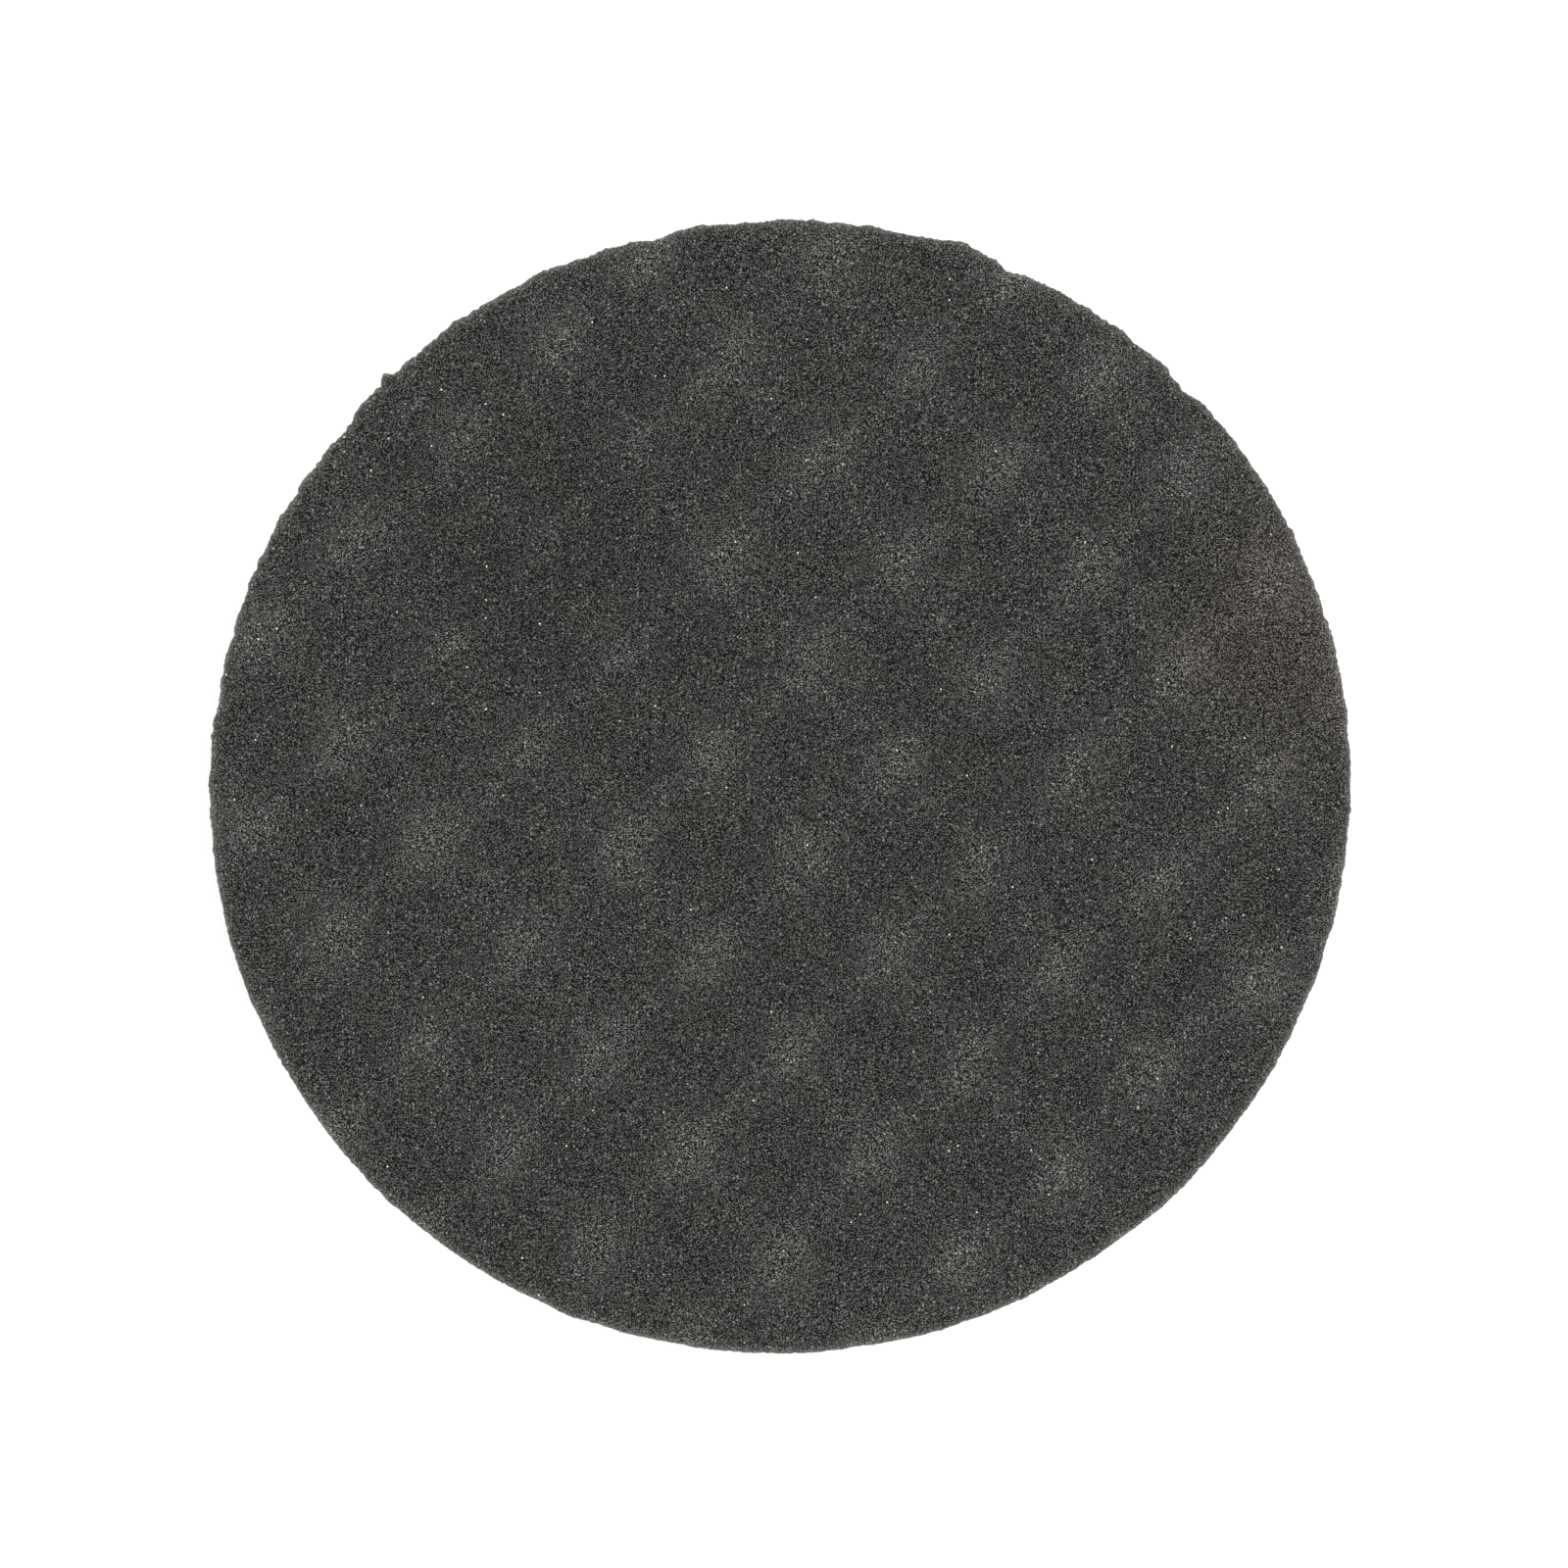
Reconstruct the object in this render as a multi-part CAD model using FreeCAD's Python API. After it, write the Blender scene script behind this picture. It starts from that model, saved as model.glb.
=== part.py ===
"""Waffle foam polishing pad with a loop-cloth back, in millimetres.

The pad lies on its loop face with its working face up. The origin is the centre of the loop face, and
+Z runs through the working face. From the bottom up it is loop pile, knitted ground cloth, bond film
and convoluted foam, all die-cut together to one diameter.
"""
import FreeCAD, Part
import math
import os

# Outline and layers
PAD_DIAMETER = 203.2
PILE_HEIGHT = 1.6
GROUND_THICKNESS = 0.5
BOND_THICKNESS = 0.2
FOAM_THICKNESS_AT_PEAKS = 30.0

# Convoluted working face: peaks stand on two diagonals, and valleys lie halfway between four peaks
PEAK_TO_VALLEY = 9.0
RISING_PITCH = 24.0
RISING_ANGLE = 44.7
FALLING_PITCH = 23.8
FALLING_ANGLE = 129.9
PEAK_NEAREST_CENTRE = (3.2, -12.7)

# The working face is a smooth surface through a grid of points, this many to each peak
POINTS_PER_PEAK = 6
# The grid runs this far past the rim, so that the rim cuts it cleanly
GRID_MARGIN = 6.0
# The uncut foam blank stands this much above the peaks
BLANK_ALLOWANCE = 1.0

RADIUS = PAD_DIAMETER / 2
GROUND_Z = PILE_HEIGHT
BOND_Z = GROUND_Z + GROUND_THICKNESS
FOAM_Z = BOND_Z + BOND_THICKNESS
PEAK_Z = FOAM_Z + FOAM_THICKNESS_AT_PEAKS
VALLEY_Z = PEAK_Z - PEAK_TO_VALLEY


def diagonal(pitch, angle):
    """The step from one peak to the next along a diagonal."""
    turn = math.radians(angle)
    return pitch * math.cos(turn), pitch * math.sin(turn)


def steps_from_peak(x, y):
    """How many diagonal steps the point lies from the peak nearest the centre, along each diagonal."""
    rising = diagonal(RISING_PITCH, RISING_ANGLE)
    falling = diagonal(FALLING_PITCH, FALLING_ANGLE)
    across = x - PEAK_NEAREST_CENTRE[0]
    up = y - PEAK_NEAREST_CENTRE[1]
    area = rising[0] * falling[1] - rising[1] * falling[0]
    along_rising = (across * falling[1] - up * falling[0]) / area
    along_falling = (rising[0] * up - rising[1] * across) / area
    return along_rising, along_falling


def face_height(x, y):
    """Height of the working face: two crossed waves, both at their crest on a peak."""
    along_rising, along_falling = steps_from_peak(x, y)
    rising_wave = math.cos(2 * math.pi * along_rising)
    falling_wave = math.cos(2 * math.pi * along_falling)
    return VALLEY_Z + PEAK_TO_VALLEY * (2 + rising_wave + falling_wave) / 4


def disc(bottom, thickness):
    """A plain die-cut layer of the laminate."""
    return Part.makeCylinder(RADIUS, thickness, FreeCAD.Vector(0, 0, bottom))


def working_face():
    """The convoluted face as one smooth surface, a little larger than the pad."""
    reach = RADIUS + GRID_MARGIN
    intervals = math.ceil(2 * reach * POINTS_PER_PEAK / RISING_PITCH)
    ticks = [reach * (2 * i / intervals - 1) for i in range(intervals + 1)]
    grid = [[FreeCAD.Vector(x, y, face_height(x, y)) for y in ticks] for x in ticks]
    surface = Part.BSplineSurface()
    surface.interpolate(grid)
    return surface


def in_quarters(surface):
    """The surface cut in four across its middle, because smaller faces are measured more exactly."""
    left, right, front, back = surface.bounds()
    middle_x = (left + right) / 2
    middle_y = (front + back) / 2
    faces = []
    for x_range in ((left, middle_x), (middle_x, right)):
        for y_range in ((front, middle_y), (middle_y, back)):
            quarter = surface.copy()
            quarter.segment(*x_range, *y_range)
            faces.append(quarter.toShape())
    return faces


def foam():
    """The foam disc: a cylinder with everything above the convoluted face taken off."""
    blank = disc(FOAM_Z, FOAM_THICKNESS_AT_PEAKS + BLANK_ALLOWANCE)
    upwards = FreeCAD.Vector(0, 0, 2 * PEAK_TO_VALLEY)
    return blank.cut([face.extrude(upwards) for face in in_quarters(working_face())])


def main():
    os.makedirs("parts", exist_ok=True)
    layers = {
        "loop_pile": disc(0, PILE_HEIGHT),
        "loop_ground": disc(GROUND_Z, GROUND_THICKNESS),
        "bond_film": disc(BOND_Z, BOND_THICKNESS),
        "foam_pad": foam(),
    }
    for node, shape in layers.items():
        shape.exportStep("parts/" + node + ".step")
        print(node, len(shape.Solids), "solid", round(shape.Volume / 1000, 1), "cm3", shape.BoundBox)


main()
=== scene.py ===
"""Waffle foam polishing pad: the looks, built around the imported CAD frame.

The pad lies on its loop face with its convoluted working face up. Every layer follows one die-cut
outline: loop pile, knitted ground cloth, bond film and foam, from the floor up. All lengths are metres.
"""
import math

import bmesh
import bpy
from bpy.props import FloatProperty, FloatVectorProperty, IntProperty, PointerProperty
from mathutils import Matrix, Vector, noise


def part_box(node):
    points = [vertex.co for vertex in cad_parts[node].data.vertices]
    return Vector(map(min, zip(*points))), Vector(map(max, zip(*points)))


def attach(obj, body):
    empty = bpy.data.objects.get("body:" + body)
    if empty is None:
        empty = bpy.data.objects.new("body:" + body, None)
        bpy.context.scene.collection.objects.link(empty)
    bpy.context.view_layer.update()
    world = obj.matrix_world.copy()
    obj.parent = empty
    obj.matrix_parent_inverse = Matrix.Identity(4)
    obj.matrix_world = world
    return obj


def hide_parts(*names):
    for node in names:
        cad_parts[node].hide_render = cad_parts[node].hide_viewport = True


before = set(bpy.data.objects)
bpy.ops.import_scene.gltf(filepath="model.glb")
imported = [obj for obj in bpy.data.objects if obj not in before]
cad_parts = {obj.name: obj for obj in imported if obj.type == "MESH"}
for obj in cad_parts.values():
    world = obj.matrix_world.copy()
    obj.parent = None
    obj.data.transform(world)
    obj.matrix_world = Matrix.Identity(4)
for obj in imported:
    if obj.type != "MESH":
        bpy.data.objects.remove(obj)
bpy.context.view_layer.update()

bl_info = {
    "name": "Waffle polishing pad",
    "version": (1, 0, 0),
    "blender": (4, 5, 0),
    "location": "View3D > Sidebar > Polishing pad",
    "description": "Builds a convoluted foam polishing pad with a loop-cloth back",
    "category": "Add Mesh",
}

MM = 0.001
FULL_TURN = 2 * math.pi

FOAM_LOW, FOAM_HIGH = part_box("foam_pad")
FILM_LOW, FILM_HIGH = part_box("bond_film")
GROUND_LOW, GROUND_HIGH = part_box("loop_ground")
PILE_LOW, PILE_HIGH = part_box("loop_pile")
PAD_RADIUS = round((FOAM_HIGH.x - FOAM_LOW.x) / 2, 4)


# ---------------------------------------------------------------------------------------------------
# Settings that a user would change
# ---------------------------------------------------------------------------------------------------


class FoamShape(bpy.types.PropertyGroup):
    """The convoluted face and the die-cut rim"""

    relief: FloatProperty(
        name="Peak to valley", description="Depth of the waffle", default=9.0 * MM, unit="LENGTH"
    )
    rising_pitch: FloatProperty(
        name="Rising pitch",
        description="Peak to peak along the rising diagonal",
        default=24.0 * MM,
        unit="LENGTH",
    )
    rising_angle: FloatProperty(
        name="Rising angle",
        description="Direction of the rising diagonal",
        default=math.radians(44.7),
        subtype="ANGLE",
    )
    falling_pitch: FloatProperty(
        name="Falling pitch",
        description="Peak to peak along the falling diagonal",
        default=23.8 * MM,
        unit="LENGTH",
    )
    falling_angle: FloatProperty(
        name="Falling angle",
        description="Direction of the falling diagonal",
        default=math.radians(129.9),
        subtype="ANGLE",
    )
    middle_peak: FloatVectorProperty(
        name="Middle peak",
        description="Where the peak nearest the centre stands",
        default=(3.2 * MM, -12.7 * MM),
        size=2,
        unit="LENGTH",
    )
    wander: FloatProperty(
        name="Wander",
        description="How far the peaks stray from their rows",
        default=2.4 * MM,
        unit="LENGTH",
    )
    mesh_step: FloatProperty(
        name="Mesh step", description="Spacing of the foam's mesh", default=0.45 * MM, unit="LENGTH"
    )
    rim_round: FloatProperty(
        name="Rim rounding", description="Radius of the worn top edge", default=1.0 * MM, unit="LENGTH"
    )
    rim_ragged: FloatProperty(
        name="Rim raggedness",
        description="How far torn cells stand out of the cut edge",
        default=0.3 * MM,
        unit="LENGTH",
    )
    waist: FloatProperty(
        name="Waist",
        description="How far the cut side draws in at half height",
        default=0.7 * MM,
        unit="LENGTH",
    )


class FoamLook(bpy.types.PropertyGroup):
    """Colours and cells of the foam"""

    strut: FloatVectorProperty(
        name="Strut",
        description="Lit cell struts",
        default=(0.197, 0.192, 0.182),
        size=3,
        subtype="COLOR",
    )
    # Painted highlight: colour of the few struts painted as if they catch the light
    painted_glint: FloatVectorProperty(
        name="Glint",
        description="Struts that catch the light",
        default=(0.34, 0.335, 0.325),
        size=3,
        subtype="COLOR",
    )
    pore: FloatVectorProperty(
        name="Pore",
        description="Open cell, seen into",
        default=(0.004, 0.004, 0.004),
        size=3,
        subtype="COLOR",
    )
    # A warm tint, laid in soft patches and round a place by the right-hand rim
    warm_tint: FloatVectorProperty(
        name="Worn",
        description="Warm tint of rubbed foam",
        default=(0.17, 0.15, 0.125),
        size=3,
        subtype="COLOR",
    )
    # Painted light: paler colour of the outermost cells, as if light came through them
    painted_edge_light: FloatVectorProperty(
        name="Fringe",
        description="Outermost cells, with light coming through",
        default=(0.28, 0.265, 0.24),
        size=3,
        subtype="COLOR",
    )
    cell: FloatProperty(
        name="Cell", description="Size of one foam cell", default=0.32 * MM, unit="LENGTH"
    )


class LoopCloth(bpy.types.PropertyGroup):
    """The loop cloth on the back"""

    wale_pitch: FloatProperty(
        name="Wale pitch", description="Between columns of loops", default=3.3 * MM, unit="LENGTH"
    )
    course_pitch: FloatProperty(
        name="Course pitch", description="Between loops in a column", default=1.65 * MM, unit="LENGTH"
    )
    yarn_radius: FloatProperty(
        name="Yarn radius",
        description="Half the thickness of a loop's yarn",
        default=0.23 * MM,
        unit="LENGTH",
    )
    loop_radius: FloatProperty(
        name="Loop radius", description="Half the width of a loop", default=0.75 * MM, unit="LENGTH"
    )
    loop_steps: IntProperty(name="Loop steps", description="Bends in each loop", default=5)
    nylon: FloatVectorProperty(
        name="Nylon",
        description="Colour of the loops",
        default=(0.08, 0.08, 0.084),
        size=3,
        subtype="COLOR",
    )
    polyester: FloatVectorProperty(
        name="Polyester",
        description="Colour of the ground",
        default=(0.04, 0.04, 0.042),
        size=3,
        subtype="COLOR",
    )


class StageSettings(bpy.types.PropertyGroup):
    """Floor, lights and camera"""

    lens: FloatProperty(name="Lens", description="Focal length in millimetres", default=100.0)
    view_width: FloatProperty(
        name="View width",
        description="Width of the picture at the rim",
        default=280.5 * MM,
        unit="LENGTH",
    )
    off_centre: FloatVectorProperty(
        name="Off centre",
        description="Where the camera stands over the pad",
        default=(0.65 * MM, 0.46 * MM),
        size=2,
        unit="LENGTH",
    )
    dome: FloatProperty(name="Dome", description="Brightness of the light tent", default=1.05)
    key: FloatProperty(
        name="Key", description="Power of the overhead softbox", default=5.0, unit="POWER"
    )
    side: FloatProperty(
        name="Side", description="Power of each low softbox", default=3.0, unit="POWER"
    )


def settings(name):
    """One of the PropertyGroups on the scene."""
    return getattr(bpy.context.scene, "pad_" + name)


# ---------------------------------------------------------------------------------------------------
# Shader maths
# ---------------------------------------------------------------------------------------------------

# At a scale of 1 the wave pattern turns through this many radians in each metre
WAVE_RADIANS = 20
# Sockets of the Mix node that hold its share and its two colours, and the one that gives its colour
MIX_SHARE, MIX_FIRST, MIX_SECOND, MIX_RESULT = 0, 6, 7, 2


class Value:
    """A shader value that can be used in an ordinary expression."""

    def __init__(self, shader, socket):
        self.shader = shader
        self.socket = socket

    def maths(self, operation, *values):
        """A Math node on this value and the others, in the order given."""
        return Value(self.shader, self.shader.add("Math", values, operation=operation).outputs[0])

    def __add__(self, other):
        return self.maths("ADD", self, other)

    def __radd__(self, other):
        return self.maths("ADD", other, self)

    def __sub__(self, other):
        return self.maths("SUBTRACT", self, other)

    def __rsub__(self, other):
        return self.maths("SUBTRACT", other, self)

    def __mul__(self, other):
        return self.maths("MULTIPLY", self, other)

    def __rmul__(self, other):
        return self.maths("MULTIPLY", other, self)

    def ramp(self, low, high):
        """0 at low and below, 1 at high and above, eased between."""
        node = self.shader.add("MapRange", [self, low, high], interpolation_type="SMOOTHSTEP")
        return Value(self.shader, node.outputs[0])


class Shader:
    """A new material and short ways to add nodes to it."""

    def __init__(self, name):
        self.material = bpy.data.materials.new(name)
        self.material.use_nodes = True
        self.tree = self.material.node_tree
        self.surface = self.tree.nodes["Principled BSDF"]
        self.place = self.add("TexCoord", []).outputs["Object"]

    def add(self, kind, values, **options):
        """Any node: its type, its settings, and the values or links of its sockets."""
        node = self.tree.nodes.new("ShaderNode" + kind)
        for key, option in options.items():
            setattr(node, key, option)
        pairs = values.items() if isinstance(values, dict) else enumerate(values)
        for key, value in pairs:
            self.join(value, node.inputs[key])
        return node

    def join(self, value, socket):
        """Links a socket or a Value, or sets a plain number or colour."""
        value = value.socket if isinstance(value, Value) else value
        if isinstance(value, bpy.types.NodeSocket):
            self.tree.links.new(value, socket)
        else:
            socket.default_value = value

    def noise(self, size, detail=0.0):
        """Soft noise, about 0.5, whose lumps are this many metres across."""
        values = {"Vector": self.place, "Scale": 1 / size, "Detail": detail}
        return Value(self, self.add("TexNoise", values).outputs["Fac"])

    def cell_distance(self, size):
        """Distance from the middles of irregular cells of this size in metres, 1 being one size."""
        node = self.add("TexVoronoi", {"Vector": self.place, "Scale": 1 / size})
        return Value(self, node.outputs["Distance"])

    def cell_chance(self, size):
        """One random number from 0 to 1 for each of those cells."""
        node = self.add("TexVoronoi", {"Vector": self.place, "Scale": 1 / size})
        return Value(self, self.add("SeparateColor", [node.outputs["Color"]]).outputs[0])

    def bands(self, period, direction):
        """Soft stripes this many metres apart, a little wavy, across this axis."""
        scale = FULL_TURN / WAVE_RADIANS / period
        values = {"Vector": self.place, "Scale": scale, "Distortion": 1.5, "Detail": 1.0}
        return Value(self, self.add("TexWave", values, bands_direction=direction).outputs["Fac"])

    def mix(self, share, first, second):
        """A colour between two, by a Value from 0 to 1."""
        values = {MIX_SHARE: share, MIX_FIRST: opaque(first), MIX_SECOND: opaque(second)}
        return self.add("Mix", values, data_type="RGBA").outputs[MIX_RESULT]

    def height(self):
        """Height over the floor."""
        return Value(self, self.add("SeparateXYZ", [self.place]).outputs[2])

    def near(self, middle, reach):
        """1 at a point, falling to 0 at this distance."""
        node = self.add("VectorMath", [self.place, middle], operation="DISTANCE")
        return 1 - Value(self, node.outputs["Value"]).ramp(0.0, reach)

    def bump(self, height, depth, strength):
        """Feeds the surface's normal with a relief this deep in metres."""
        node = self.add("Bump", {"Height": height, "Distance": depth, "Strength": strength})
        self.join(node.outputs[0], self.surface.inputs["Normal"])

    def finish(self, **values):
        """Sets the surface's own sockets, by name with spaces as underscores."""
        for name, value in values.items():
            self.join(value, self.surface.inputs[name.replace("_", " ")])
        return self.material


def opaque(colour):
    """A colour as its socket wants it."""
    if isinstance(colour, (bpy.types.NodeSocket, Value)):
        return colour
    return (*tuple(colour)[:3], 1.0)


# ---------------------------------------------------------------------------------------------------
# Materials
# ---------------------------------------------------------------------------------------------------

# The foam is tinted paler and browner round a place by the right-hand rim
WARMED_PLACE = (92 * MM, 28 * MM, 28 * MM)
WARMED_REACH = 34 * MM
# Cells of the foam that may hold a speck of lint, and the share of those cells that do
SPECK_CELL = 1.6 * MM
SPECK_SHARE = 0.04
LINT = (0.8, 0.77, 0.71)


def foam_shade(shader, shape):
    """About 1: painted light up the crowns and tips, painted shade in the pressed patch, mottled."""
    top = FOAM_HIGH.z
    # Painted light: the foam's colour is paler up the crowns and paler still at their tips
    painted_crown_light = shader.height().ramp(top - shape.relief, top)
    painted_tip_light = shader.height().ramp(top - shape.relief / 2, top)
    mottle = shader.noise(26 * MM, detail=2.0) - 0.5
    # Painted shade: the foam's colour is darker in the pressed patch
    painted_shade_patch = shader.near(PRESSED_PLACE, PRESSED_REACH)
    return 0.89 + 0.2 * painted_crown_light + 0.2 * painted_tip_light + 0.2 * mottle - 0.2 * painted_shade_patch


def lint_specks(shader):
    """1 on a few tiny specks, 0 elsewhere."""
    chosen = shader.cell_chance(SPECK_CELL).ramp(1 - SPECK_SHARE - 0.005, 1 - SPECK_SHARE)
    return chosen * (1 - shader.cell_distance(SPECK_CELL).ramp(0.07, 0.13))


def charcoal_foam():
    """Open-cell foam: dark pores between paler struts, painted highlights on a few, painted light on
    the crowns.
    """
    look = settings("foam_look")
    shader = Shader("charcoal_foam")
    struts = shader.noise(0.77 * look.cell).ramp(0.495, 0.605)
    tone = shader.cell_chance(look.cell)
    # Painted highlight: a few struts are painted bright, as if catching the light
    painted_glints = 1 - shader.cell_distance(2 * look.cell).ramp(0.16, 0.36)
    painted_glints = painted_glints * shader.cell_chance(2 * look.cell).ramp(0.7, 0.95)
    # A factor on the foam's colour: painted light on the crowns, painted shade in the pressed patch,
    # random mottle
    shade = foam_shade(shader, settings("foam_shape"))
    level = (0.01 + 0.44 * struts + 0.16 * tone * struts) * shade
    base = shader.mix(level, look.pore, look.strut)
    base = shader.mix(0.75 * painted_glints * shade, base, look.painted_glint)
    tint = shader.noise(9 * MM, detail=1.0).ramp(0.45, 0.75)
    # Paler and browner round a place by the right-hand rim
    warmed = shader.near(WARMED_PLACE, WARMED_REACH)
    base = shader.mix((0.3 * tint + 0.9 * warmed) * level, base, look.warm_tint)
    # Painted light: the outermost cells are painted paler, as if light came through them
    painted_edge_light = Value(shader, shader.add("Attribute", [], attribute_name="painted_edge_light").outputs["Fac"])
    base = shader.mix(painted_edge_light * (0.25 + 0.4 * struts), base, look.painted_edge_light)
    base = shader.mix(lint_specks(shader), base, LINT)
    shader.bump(struts, 0.15 * MM, 0.7)
    return shader.finish(Base_Color=base, Roughness=0.95, Specular_IOR_Level=0.05)


def clear_adhesive():
    """Hot-melt film: dull, slightly yellow, with soft ripples."""
    shader = Shader("clear_adhesive")
    ripple = shader.noise(1.2 * MM, detail=2.0)
    base = shader.mix(ripple, (0.10, 0.095, 0.08), (0.2, 0.19, 0.16))
    shader.bump(ripple, 0.1 * MM, 0.5)
    return shader.finish(Base_Color=base, Roughness=0.35 + 0.3 * ripple, Specular_IOR_Level=0.4)


def knit_ground():
    """Warp-knitted ground: fine wales with stitches along them."""
    cloth = settings("loop_cloth")
    shader = Shader("knit_ground")
    wales = shader.bands(0.82 * MM, "X")
    stitches = shader.bands(0.55 * MM, "Y")
    weave = wales * 0.6 + stitches * 0.4
    fuzz = shader.noise(0.2 * MM, detail=2.0)
    base = shader.mix(weave * (0.5 + fuzz), tuple(0.35 * c for c in cloth.polyester), cloth.polyester)
    shader.bump(weave + 0.6 * fuzz, 0.25 * MM, 1.0)
    return shader.finish(Base_Color=base, Roughness=0.8, Sheen_Weight=0.2, Sheen_Roughness=0.5)


def nylon_loops():
    """Bright nylon multifilament: fine streaks, slight gloss."""
    cloth = settings("loop_cloth")
    shader = Shader("nylon_loops")
    streaks = shader.noise(0.08 * MM, detail=2.0)
    patches = shader.noise(5 * MM, detail=2.0)
    base = shader.mix(0.6 * streaks + 0.5 * patches, tuple(0.4 * c for c in cloth.nylon), cloth.nylon)
    shader.bump(streaks, 0.05 * MM, 0.6)
    return shader.finish(Base_Color=base, Roughness=0.5, Sheen_Weight=0.3, Sheen_Roughness=0.4)


def pale_floor():
    """Seamless white card with the faintest tooth."""
    shader = Shader("pale_floor")
    tooth = shader.noise(2.0 * MM, detail=2.0)
    base = shader.mix(tooth, (0.93, 0.93, 0.93), (0.95, 0.95, 0.95))
    return shader.finish(Base_Color=base, Roughness=0.9, Specular_IOR_Level=0.1)


# ---------------------------------------------------------------------------------------------------
# Outline and working face
# ---------------------------------------------------------------------------------------------------

# The blank was stretched a little while it was cut, so the outline is slightly oval
OVAL = 0.44 * MM
OVAL_ANGLE = math.radians(24)
# The plainest nicks and tufts of the cut edge: degrees round, distance outwards, and about half the
# width in degrees
RIM_MARKS = (
    (45, -0.8 * MM, 2.0),
    (66, -0.9 * MM, 2.0),
    (71, 0.9 * MM, 2.0),
    (103, -0.9 * MM, 2.0),
    (134, 1.2 * MM, 0.7),
    (141, -0.9 * MM, 2.0),
)
# The mean height of the working face, from 0 in a valley to 1 on a peak
MEAN_SHARE = 0.38
# Peaks are squeezed outwards under the die and spring back short of it, above this share of height
SPRING_BACK = 1.3 * MM
SPRING_LEVEL = 0.65
# The cut is torn most in this direction, and clean opposite it
TORN_ANGLE = math.radians(95)
# The rows of peaks are pressed flatter in one patch, where the foam's colour is also darkened as
# painted shade
PRESSED_PLACE = Vector((-43 * MM, 42 * MM, 26 * MM))
PRESSED_REACH = 52 * MM
PRESSED_SHARE = 0.35
# Torn cells reach this far in over the working face
TORN_REACH = 4 * MM
# Painted light at the outermost cells, as if light came through them: how deep it fades, and what the
# side keeps of it
EDGE_LIGHT_DEPTH = 0.62 * MM
SIDE_EDGE_LIGHT = 0.18


def lump(point, size, seed=0.0):
    """Smooth noise from about -1 to 1 whose lumps are this many metres across."""
    return noise.noise(point / size + Vector((seed, 1.7 * seed, 0.6 * seed)))


def ease(share):
    """0 to 1 with level ends."""
    share = min(max(share, 0.0), 1.0)
    return share * share * (3 - 2 * share)


class WaffleFace:
    """The convoluted face: two crossed waves, both at their crest on a peak."""

    def __init__(self, shape):
        rising = Vector((math.cos(shape.rising_angle), math.sin(shape.rising_angle)))
        rising *= shape.rising_pitch
        falling = Vector((math.cos(shape.falling_angle), math.sin(shape.falling_angle)))
        falling *= shape.falling_pitch
        steps = Matrix(((rising.x, falling.x), (rising.y, falling.y)))
        self.to_steps = steps.inverted()
        self.first = Vector(shape.middle_peak)
        self.wander = shape.wander
        self.relief = shape.relief
        self.top = FOAM_HIGH.z

    def share(self, x, y):
        """How high the face stands, from 0 in a valley to 1 on a peak."""
        place = Vector((x, y, 0))
        stray = Vector((lump(place, 38 * MM, 3.0), lump(place, 38 * MM, 7.0))) * self.wander
        rising, falling = self.to_steps @ (Vector((x, y)) - self.first + stray)
        rising_wave = math.cos(FULL_TURN * rising)
        falling_wave = math.cos(FULL_TURN * falling)
        ridge = math.cos(2 * FULL_TURN * falling)
        slant = math.cos(FULL_TURN * (rising - falling))
        cross = math.cos(FULL_TURN * (rising + falling))
        waves = 0.23 * rising_wave + 0.28 * falling_wave + 0.05 * ridge + 0.04 * slant + 0.02 * cross
        return MEAN_SHARE + waves

    def height(self, x, y):
        """Height of the face over the floor, before its grain."""
        place = Vector((x, y, 0))
        share = self.share(x, y)
        pressed = PRESSED_SHARE * ease(1 - (place - PRESSED_PLACE).xy.length / PRESSED_REACH)
        uneven = 0.12 * lump(place, 30 * MM, 11.0)
        share = share * (1 - pressed) + uneven * share
        return self.top - self.relief * (1 - share)


class CutOutline:
    """The die-cut edge that every layer follows."""

    def __init__(self, shape, face):
        self.face = face
        self.ragged = shape.rim_ragged

    def radius(self, angle):
        """Radius at this direction, before any torn cells."""
        rim = Vector((math.cos(angle), math.sin(angle), 0)) * PAD_RADIUS
        oval = OVAL * math.cos(2 * (angle - OVAL_ANGLE))
        lumps = 0.35 * MM * lump(rim, 16 * MM, 21.0) + 0.2 * MM * lump(rim, 6 * MM, 23.0)
        return PAD_RADIUS + oval + lumps

    def wear(self, angle):
        """How rough the cut is: clean at the near side, torn round the far side."""
        return 0.25 + 0.75 * ease(0.5 + 0.65 * math.cos(angle - TORN_ANGLE))

    def foam_radius(self, angle):
        """The foam's radius at its top edge, drawn in where a peak meets the edge."""
        radius = self.radius(angle)
        rim = Vector((math.cos(angle), math.sin(angle), 0)) * radius
        relief = SPRING_BACK * (SPRING_LEVEL - self.face.share(rim.x, rim.y))
        bites = 0.3 * MM * lump(rim, 9 * MM, 27.0) + 0.45 * MM * lump(rim, 3.5 * MM, 29.0)
        bites *= self.wear(angle)
        marks = 0
        for direction, outwards, half_width in RIM_MARKS:
            away = abs(math.degrees(math.remainder(angle - math.radians(direction), FULL_TURN)))
            marks += outwards * ease(1 - away / (1.5 * half_width))
        return radius + relief + bites + marks

    def torn(self, point, angle):
        """How far single cells and tufts stand out of the cut."""
        place = Vector((point.x, point.y, 0.3 * point.z))
        rough = lump(place, 0.7 * MM, 31.0) + 0.6 * lump(place, 1.8 * MM, 37.0)
        return self.ragged * (0.4 + 0.6 * self.wear(angle)) * rough


# ---------------------------------------------------------------------------------------------------
# Mesh helpers
# ---------------------------------------------------------------------------------------------------


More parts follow.
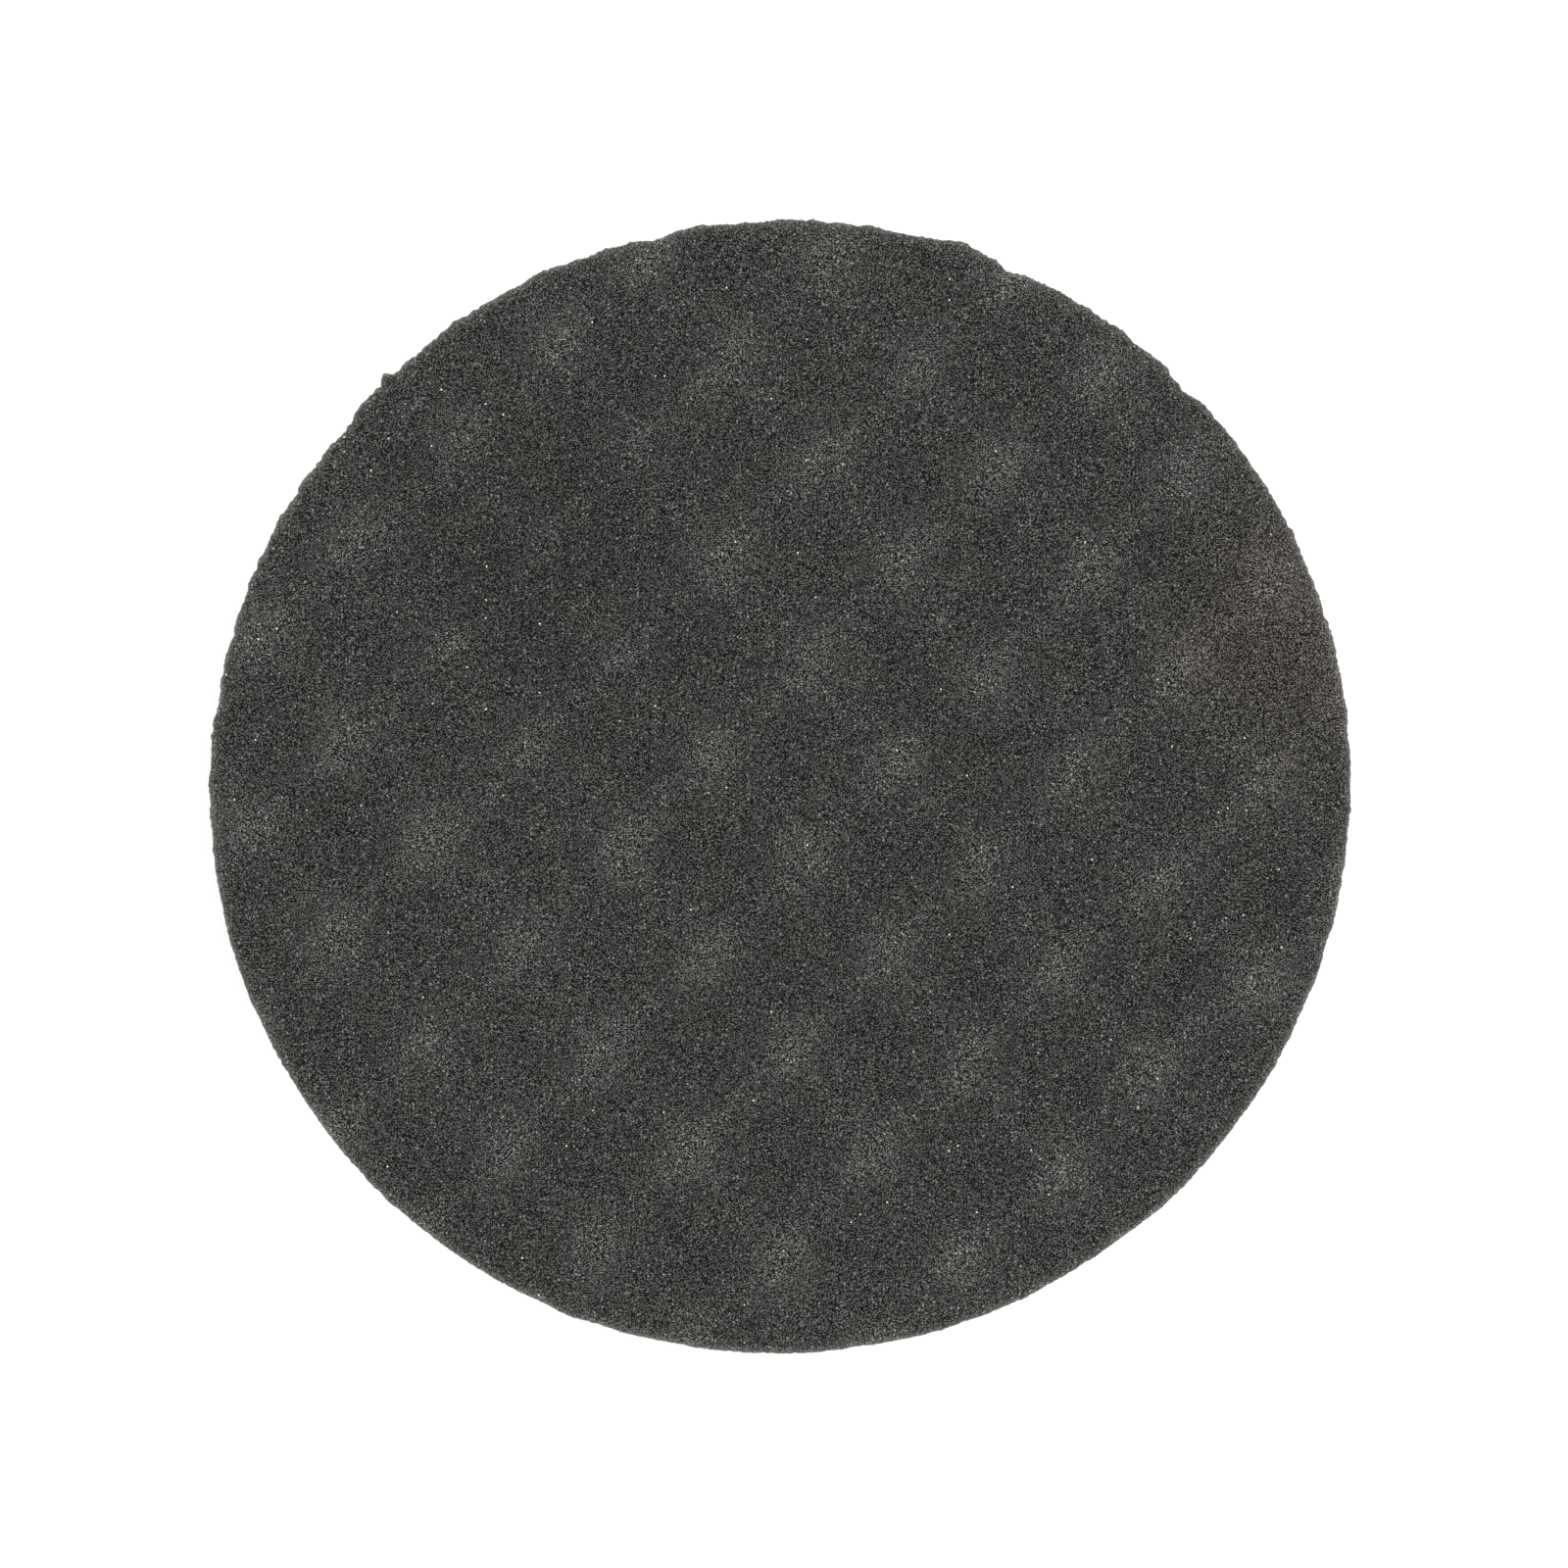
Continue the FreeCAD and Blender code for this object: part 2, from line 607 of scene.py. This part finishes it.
def make_piece(bm, name, material):
    """Turns a bmesh into a piece that rides on the pad's only body."""
    mesh = bpy.data.meshes.new(name)
    bm.to_mesh(mesh)
    bm.free()
    mesh.materials.append(material)
    piece = bpy.data.objects.new(name, mesh)
    bpy.context.scene.collection.objects.link(piece)
    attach(piece, "root")
    return piece


def disc_from_square(u, v):
    """Moves a point of a square to a disc: each square ring becomes a round one."""
    if u == 0 and v == 0:
        return 0.0, 0.0
    if abs(u) > abs(v):
        reach, turn = u, math.pi / 4 * v / u
    else:
        reach, turn = v, math.pi / 2 - math.pi / 4 * u / v
    return reach * math.cos(turn), reach * math.sin(turn)


def rim_edges(bm):
    """The open edges."""
    return [edge for edge in bm.edges if edge.is_boundary]


def smooth_faces(bm):
    """Shades the whole mesh as one soft surface."""
    for soft_face in bm.faces:
        soft_face.smooth = True


def extrude_down(bm, edges, rings, low):
    """Adds a wall below an open rim, in rings down to the height given, and returns its last edges."""
    for ring in range(rings):
        made = bmesh.ops.extrude_edge_only(bm, edges=edges)["geom"]
        edges = [item for item in made if isinstance(item, bmesh.types.BMEdge)]
        edges = [edge for edge in edges if edge.is_boundary]
        for vert in {vert for edge in edges for vert in edge.verts}:
            vert.co.z += (low - vert.co.z) / (rings - ring)
    return edges


# ---------------------------------------------------------------------------------------------------
# Pieces
# ---------------------------------------------------------------------------------------------------

# Straight pieces round the edge of each thin layer
LAYER_SEGMENTS = 720


def shape_foam_face(bm, shape, face, outline):
    """Lays the flat square grid out as the convoluted face inside the cut edge."""
    painted_edge_light = bm.verts.layers.float.new("painted_edge_light")
    for vert in bm.verts:
        x, y = disc_from_square(vert.co.x, vert.co.y)
        angle = math.atan2(y, x)
        reach = min(math.hypot(x, y), 1.0)
        radius = outline.foam_radius(angle)
        rim = Vector((math.cos(angle), math.sin(angle), 0)) * radius
        point = rim * reach
        inset = radius * (1 - reach)
        point.z = face.height(point.x, point.y) + face_grain(point)
        if inset < shape.rim_round:
            drop = shape.rim_round - inset
            point.z -= shape.rim_round - math.sqrt(shape.rim_round**2 - drop**2)
        if inset < TORN_REACH:
            point += rim.normalized() * outline.torn(point, angle) * ease(1 - inset / TORN_REACH)
        vert.co = point
        # Painted light: how much paler the cells are painted near the edge, fading inwards
        vert[painted_edge_light] = math.exp(-inset / EDGE_LIGHT_DEPTH)


def face_grain(point):
    """Unevenness of the cut face, from single cells to soft lumps."""
    cells = 0.03 * MM * lump(point, 0.9 * MM, 41.0)
    clumps = 0.04 * MM * lump(point, 2.4 * MM, 43.0)
    lumps = 0.2 * MM * lump(point, 9 * MM, 47.0)
    return cells + clumps + lumps


def shape_foam_side(bm, verts, shape, outline):
    """Draws the cut side in at its waist and roughens it."""
    painted_edge_light = bm.verts.layers.float["painted_edge_light"]
    for vert in verts:
        angle = math.atan2(vert.co.y, vert.co.x)
        outward = Vector((math.cos(angle), math.sin(angle), 0))
        top = outline.face.height(vert.co.x, vert.co.y)
        share = (vert.co.z - FOAM_LOW.z) / max(top - FOAM_LOW.z, MM)
        base = outline.radius(angle)
        edge = math.hypot(vert.co.x, vert.co.y)
        waist = shape.waist * math.sin(math.pi * min(share, 1.0))
        point = outward * (base + (edge - base) * ease(share) - waist)
        point.z = vert.co.z
        rough = 0.16 * MM * lump(point, 1.0 * MM, 53.0) + 0.22 * MM * lump(point, 3.2 * MM, 59.0)
        rough *= ease(6 * (1 - share))
        vert.co = point + outward * (rough + outline.torn(point, angle))
        # Painted light on the cut side: a little everywhere, more near the top edge
        vert[painted_edge_light] = SIDE_EDGE_LIGHT + SIDE_EDGE_LIGHT * math.exp((point.z - top) / EDGE_LIGHT_DEPTH)


class PAD_OT_foam(bpy.types.Operator):
    """Convoluted foam disc, the working layer"""

    bl_idname = "pad.foam"
    bl_label = "Foam"

    def execute(self, context):
        shape = settings("foam_shape")
        face = WaffleFace(shape)
        outline = CutOutline(shape, face)
        across = round(2 * PAD_RADIUS / shape.mesh_step)
        bm = bmesh.new()
        bmesh.ops.create_grid(bm, x_segments=across, y_segments=across, size=1.0)
        shape_foam_face(bm, shape, face, outline)
        top = set(bm.verts)
        rings = round((FOAM_HIGH.z - FOAM_LOW.z) / (1.3 * shape.mesh_step))
        last = extrude_down(bm, rim_edges(bm), rings, FOAM_LOW.z)
        shape_foam_side(bm, [vert for vert in bm.verts if vert not in top], shape, outline)
        smooth_faces(bm)
        bmesh.ops.contextual_create(bm, geom=last)
        for edge in last:
            edge.smooth = False
        piece = make_piece(bm, "waffle_foam", charcoal_foam())
        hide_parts("foam_pad")
        return {"FINISHED"}


def layer(outline, low, high, inset, uneven, seed):
    """A thin die-cut layer between two heights, with a slightly uneven edge."""
    bm = bmesh.new()
    bmesh.ops.create_circle(bm, cap_ends=True, segments=LAYER_SEGMENTS, radius=1.0)
    for vert in bm.verts:
        angle = math.atan2(vert.co.y, vert.co.x)
        rim = Vector((math.cos(angle), math.sin(angle), 0))
        radius = outline.radius(angle) - inset + uneven * lump(rim * PAD_RADIUS, 1.8 * MM, seed)
        vert.co = rim * radius
        vert.co.z = low
    whole = bmesh.ops.extrude_face_region(bm, geom=bm.faces[:])["geom"]
    upper = [item for item in whole if isinstance(item, bmesh.types.BMVert)]
    bmesh.ops.translate(bm, verts=upper, vec=(0, 0, high - low))
    bmesh.ops.recalc_face_normals(bm, faces=bm.faces[:])
    return bm


class PAD_OT_bond_film(bpy.types.Operator):
    """Laminating adhesive film between foam and loop cloth"""

    bl_idname = "pad.bond_film"
    bl_label = "Bond film"

    def execute(self, context):
        shape = settings("foam_shape")
        outline = CutOutline(shape, WaffleFace(shape))
        bm = layer(outline, FILM_LOW.z, FILM_HIGH.z, 0.05 * MM, 0.12 * MM, 61.0)
        piece = make_piece(bm, "adhesive_film", clear_adhesive())
        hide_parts("bond_film")
        return {"FINISHED"}


class PAD_OT_loop_ground(bpy.types.Operator):
    """Knitted ground cloth that carries the loops"""

    bl_idname = "pad.loop_ground"
    bl_label = "Ground cloth"

    def execute(self, context):
        shape = settings("foam_shape")
        outline = CutOutline(shape, WaffleFace(shape))
        bm = layer(outline, GROUND_LOW.z, GROUND_HIGH.z, 0.1 * MM, 0.2 * MM, 67.0)
        piece = make_piece(bm, "ground_cloth", knit_ground())
        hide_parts("loop_ground")
        return {"FINISHED"}


def one_loop(cloth):
    """A single arch of yarn, hanging from the ground cloth to the floor, closed at both ends."""
    bm = bmesh.new()
    ring = bmesh.ops.create_circle(bm, cap_ends=True, segments=3, radius=cloth.yarn_radius)["verts"]
    bmesh.ops.translate(bm, verts=ring, vec=(cloth.loop_radius, 0, 0))
    bmesh.ops.spin(
        bm,
        geom=bm.verts[:] + bm.edges[:] + bm.faces[:],
        cent=(0, 0, 0),
        axis=(0, 1, 0),
        dvec=(0, 0, 0),
        angle=math.pi,
        steps=cloth.loop_steps,
    )
    drop = (PILE_HIGH.z - PILE_LOW.z) / (cloth.loop_radius + cloth.yarn_radius)
    bmesh.ops.scale(bm, verts=bm.verts[:], vec=(1, 1, drop))
    bmesh.ops.recalc_face_normals(bm, faces=bm.faces[:])
    bmesh.ops.translate(bm, verts=bm.verts[:], vec=(0, 0, PILE_HIGH.z))
    return bm


def double_along(bm, step, times):
    """Copies the whole mesh beside itself again and again: 2, 4, 8 and so on."""
    for turn in range(times):
        made = bmesh.ops.duplicate(bm, geom=bm.verts[:] + bm.edges[:] + bm.faces[:])["geom"]
        moved = [item for item in made if isinstance(item, bmesh.types.BMVert)]
        bmesh.ops.translate(bm, verts=moved, vec=step * 2**turn)


def loop_rows(cloth, outline, stagger, lean, seed):
    """One set of loops across the pad: moved by a share of their pitch, turned and swung unevenly."""
    bm = one_loop(cloth)
    depth = PILE_HIGH.z - PILE_LOW.z
    columns = math.ceil(math.log2(2 * PAD_RADIUS / cloth.wale_pitch))
    rows = math.ceil(math.log2(2 * PAD_RADIUS / cloth.course_pitch))
    double_along(bm, Vector((cloth.wale_pitch, 0, 0)), columns)
    double_along(bm, Vector((0, cloth.course_pitch, 0)), rows)
    first_x = (stagger - (2**columns - 1) / 2) * cloth.wale_pitch
    first_y = (stagger - (2**rows - 1) / 2) * cloth.course_pitch
    bmesh.ops.translate(bm, verts=bm.verts[:], vec=(first_x, first_y, 0))
    outside = []
    for vert in bm.verts:
        column = round((vert.co.x - first_x) / cloth.wale_pitch)
        row = round((vert.co.y - first_y) / cloth.course_pitch)
        middle = Vector((column * cloth.wale_pitch, row * cloth.course_pitch, 0))
        middle += Vector((first_x, first_y, 0))
        angle = math.atan2(middle.y, middle.x)
        if middle.length > outline.radius(angle) - 1.4 * cloth.loop_radius:
            outside.append(vert)
            continue
        hang = (PILE_HIGH.z - vert.co.z) / depth
        turn = Matrix.Rotation(lean + 1.1 * lump(middle, 1.3 * MM, seed), 2)
        swing = Vector((lump(middle, 1.7 * MM, seed + 2), lump(middle, 1.7 * MM, seed + 8)))
        flat = turn @ (vert.co - middle).to_2d() + 1.3 * cloth.loop_radius * swing * hang
        shorter = 1 - 0.25 * abs(lump(middle, 1.9 * MM, seed + 12))
        vert.co = (middle.x + flat.x, middle.y + flat.y, PILE_HIGH.z)
        vert.co.z -= hang * shorter * depth
    bmesh.ops.delete(bm, geom=outside, context="VERTS")
    smooth_faces(bm)
    return bm


class PAD_OT_loop_pile(bpy.types.Operator):
    """Brushed nylon loops under the ground cloth, in two staggered sets"""

    bl_idname = "pad.loop_pile"
    bl_label = "Loop pile"

    def execute(self, context):
        shape = settings("foam_shape")
        cloth = settings("loop_cloth")
        outline = CutOutline(shape, WaffleFace(shape))
        material = nylon_loops()
        straight = loop_rows(cloth, outline, stagger=0.0, lean=0.0, seed=71.0)
        leaning = loop_rows(cloth, outline, stagger=0.5, lean=math.radians(50), seed=101.0)
        for name, bm in (("nylon_loop_pile", straight), ("nylon_loop_pile_between", leaning)):
            piece = make_piece(bm, name, material)
            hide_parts("loop_pile")
        return {"FINISHED"}


# ---------------------------------------------------------------------------------------------------
# Stage
# ---------------------------------------------------------------------------------------------------


def floor():
    """A wide pale floor at the pad's loop face."""
    bm = bmesh.new()
    bmesh.ops.create_grid(bm, x_segments=1, y_segments=1, size=6.0)
    mesh = bpy.data.meshes.new("floor")
    bm.to_mesh(mesh)
    bm.free()
    mesh.materials.append(pale_floor())
    piece = bpy.data.objects.new("floor", mesh)
    bpy.context.scene.collection.objects.link(piece)


def softbox(name, place, width, power):
    """A square area light aimed at the pad's middle."""
    lamp = bpy.data.lights.new(name, "AREA")
    lamp.size = width
    lamp.energy = power
    light = bpy.data.objects.new(name, lamp)
    light.location = place
    light.rotation_euler = (-Vector(place)).to_track_quat("-Z", "Y").to_euler()
    light.visible_camera = False
    bpy.context.scene.collection.objects.link(light)


def light_tent(brightness):
    """Even white light from all round."""
    world = bpy.data.worlds.new("light_tent")
    world.use_nodes = True
    background = world.node_tree.nodes["Background"]
    background.inputs["Color"].default_value = (1, 1, 1, 1)
    background.inputs["Strength"].default_value = brightness
    bpy.context.scene.world = world


def camera_above(stage):
    """Looks straight down, with the picture's width set at the height of the rim."""
    lens = bpy.data.cameras.new("camera")
    lens.lens = stage.lens
    camera = bpy.data.objects.new("camera", lens)
    rim_height = FOAM_HIGH.z - settings("foam_shape").relief / 2
    rise = stage.lens / lens.sensor_width * stage.view_width
    camera.location = (stage.off_centre[0], stage.off_centre[1], rim_height + rise)
    bpy.context.scene.collection.objects.link(camera)
    bpy.context.scene.camera = camera


class PAD_OT_stage(bpy.types.Operator):
    """Pale floor, soft studio light and the camera"""

    bl_idname = "pad.stage"
    bl_label = "Stage"

    def execute(self, context):
        stage = settings("stage")
        context.scene.view_settings.view_transform = "Standard"
        floor()
        light_tent(stage.dome)
        softbox("overhead_softbox", (0.25, 0.1, 1.3), 0.9, stage.key)
        for turn in range(4):
            angle = math.radians(45 + 90 * turn)
            place = (0.9 * math.cos(angle), 0.9 * math.sin(angle), 0.4)
            softbox("low_softbox_" + str(turn + 1), place, 0.5, stage.side)
        camera_above(stage)
        return {"FINISHED"}


# ---------------------------------------------------------------------------------------------------
# Panel and registration
# ---------------------------------------------------------------------------------------------------

STEPS = (PAD_OT_stage, PAD_OT_foam, PAD_OT_bond_film, PAD_OT_loop_ground, PAD_OT_loop_pile)


class PAD_PT_sidebar(bpy.types.Panel):
    """Lists the pad's settings and the steps that build it"""

    bl_label = "Polishing pad"
    bl_idname = "PAD_PT_sidebar"
    bl_space_type = "VIEW_3D"
    bl_region_type = "UI"
    bl_category = "Polishing pad"

    def draw(self, context):
        for name in GROUPS:
            box = self.layout.box()
            group = settings(name)
            for key in group.__annotations__:
                box.prop(group, key)
        for step in STEPS:
            self.layout.operator(step.bl_idname)


GROUPS = {
    "foam_shape": FoamShape,
    "foam_look": FoamLook,
    "loop_cloth": LoopCloth,
    "stage": StageSettings,
}
CLASSES = (*GROUPS.values(), *STEPS, PAD_PT_sidebar)


def register():
    for item in CLASSES:
        bpy.utils.register_class(item)
    for name, group in GROUPS.items():
        setattr(bpy.types.Scene, "pad_" + name, PointerProperty(type=group))


def unregister():
    for name in GROUPS:
        delattr(bpy.types.Scene, "pad_" + name)
    for item in reversed(CLASSES):
        bpy.utils.unregister_class(item)


def main():
    register()
    bpy.ops.pad.stage()
    bpy.ops.pad.foam()
    bpy.ops.pad.bond_film()
    bpy.ops.pad.loop_ground()
    bpy.ops.pad.loop_pile()


if __name__ == "__main__":
    main()
